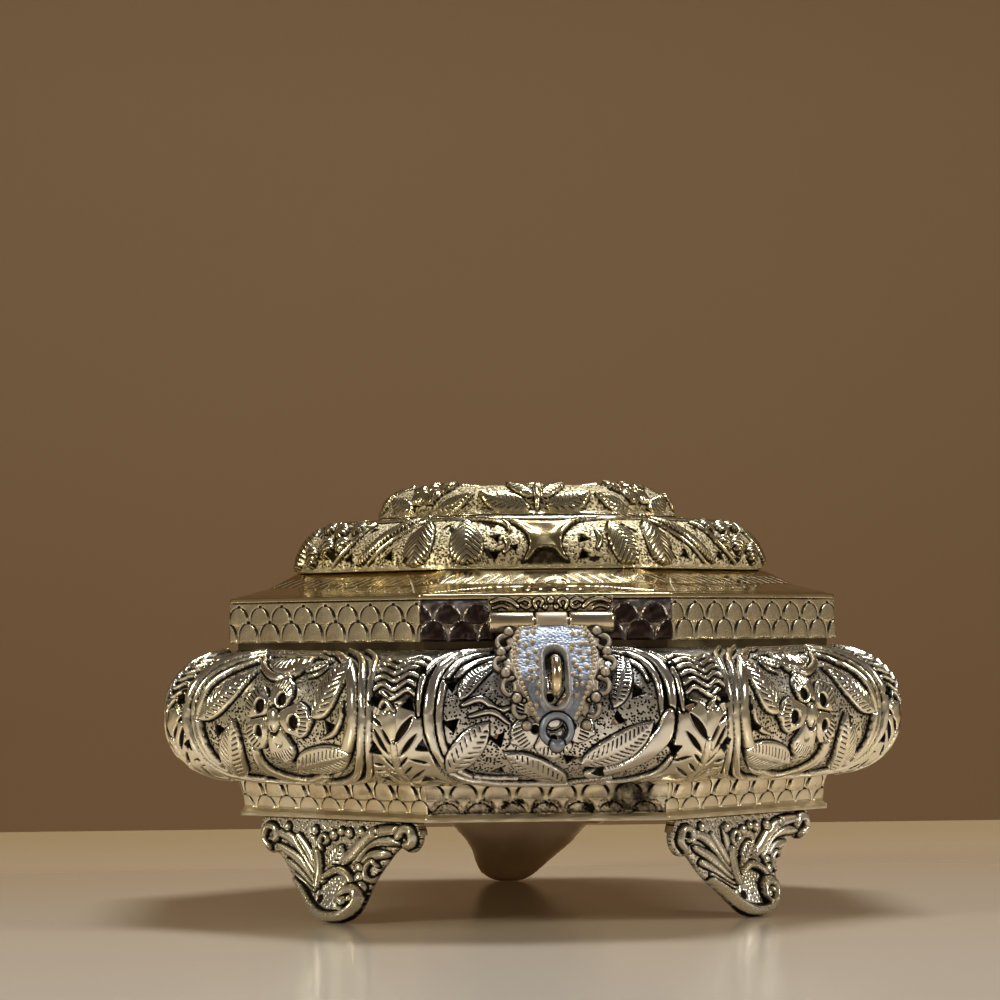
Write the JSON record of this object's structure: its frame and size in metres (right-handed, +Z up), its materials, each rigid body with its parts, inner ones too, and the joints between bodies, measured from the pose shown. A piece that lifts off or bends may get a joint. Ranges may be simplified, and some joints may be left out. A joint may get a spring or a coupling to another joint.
{
  "type": "footed jewellery casket",
  "caption": "Octagonal pierced brass casket with a bulging wall, a stepped hinged lid, a front hasp over a staple, and cast scroll legs.",
  "frame": {"origin": "centre of the overall bounds, at the level of the toes", "axes": "+Z up, -Y to the front with the hasp, +X to the right seen from the front"},
  "size_m": [0.18, 0.1854, 0.1062],
  "materials": {
    "wall_brass": "cast and polished, blackened hollows",
    "plinth_brass": "pressed scallops, worn",
    "rim_brass": "pressed scallops, worn",
    "dark_strip": "dark patina",
    "inner_brass": "dull",
    "leg_brass": "cast, darkened flutes",
    "leg_bronze": "plain back",
    "fitting_brass": "worn",
    "pin_brass": "dull",
    "shield_metal": "grey field with gold beads",
    "shoulder_brass": "polished, engraved",
    "dome_brass": "cast relief, polished"
  },
  "bodies": {
    "box": {"wall_front": "wall_brass", "wall_front_right": "wall_brass", "wall_right": "wall_brass", "wall_back_right": "wall_brass", "wall_back": "wall_brass", "wall_back_left": "wall_brass", "wall_left": "wall_brass", "wall_front_left": "wall_brass", "plinth_front": "plinth_brass", "plinth_front_right": "plinth_brass", "plinth_right": "plinth_brass", "plinth_back_right": "plinth_brass", "plinth_back": "plinth_brass", "plinth_back_left": "plinth_brass", "plinth_left": "plinth_brass", "plinth_front_left": "plinth_brass", "base_plate": "inner_brass", "mouth_collar": "inner_brass", "leg_front_left": "leg_brass", "leg_front_right": "leg_brass", "leg_back": "leg_bronze", "staple": "fitting_brass", "rear_hinge_box_leaf": "fitting_brass", "rear_hinge_pin": "pin_brass"},
    "lid": {"rim_front": "dark_strip", "rim_front_right": "rim_brass", "rim_right": "rim_brass", "rim_back_right": "rim_brass", "rim_back": "rim_brass", "rim_back_left": "rim_brass", "rim_left": "rim_brass", "rim_front_left": "rim_brass", "lid_shoulder": "shoulder_brass", "lid_dome": "dome_brass", "lid_platform": "dome_brass", "rear_hinge_lid_leaf": "fitting_brass", "hasp_lid_leaf": "fitting_brass", "hasp_pin": "pin_brass"},
    "hasp": {"hasp_shield": "shield_metal"}
  },
  "joints": [
    {"name": "lid_hinge", "type": "hinge", "parent": "box", "child": "lid", "pos_m": [0, 0.08085, 0.0676], "axis": [-1, 0, 0], "range_deg": [0, 105]},
    {"name": "hasp_swing", "type": "hinge", "parent": "lid", "child": "hasp", "pos_m": [0.001, -0.0741, 0.07102], "axis": [-1, 0, 0], "range_deg": [0, 115]}
  ]
}
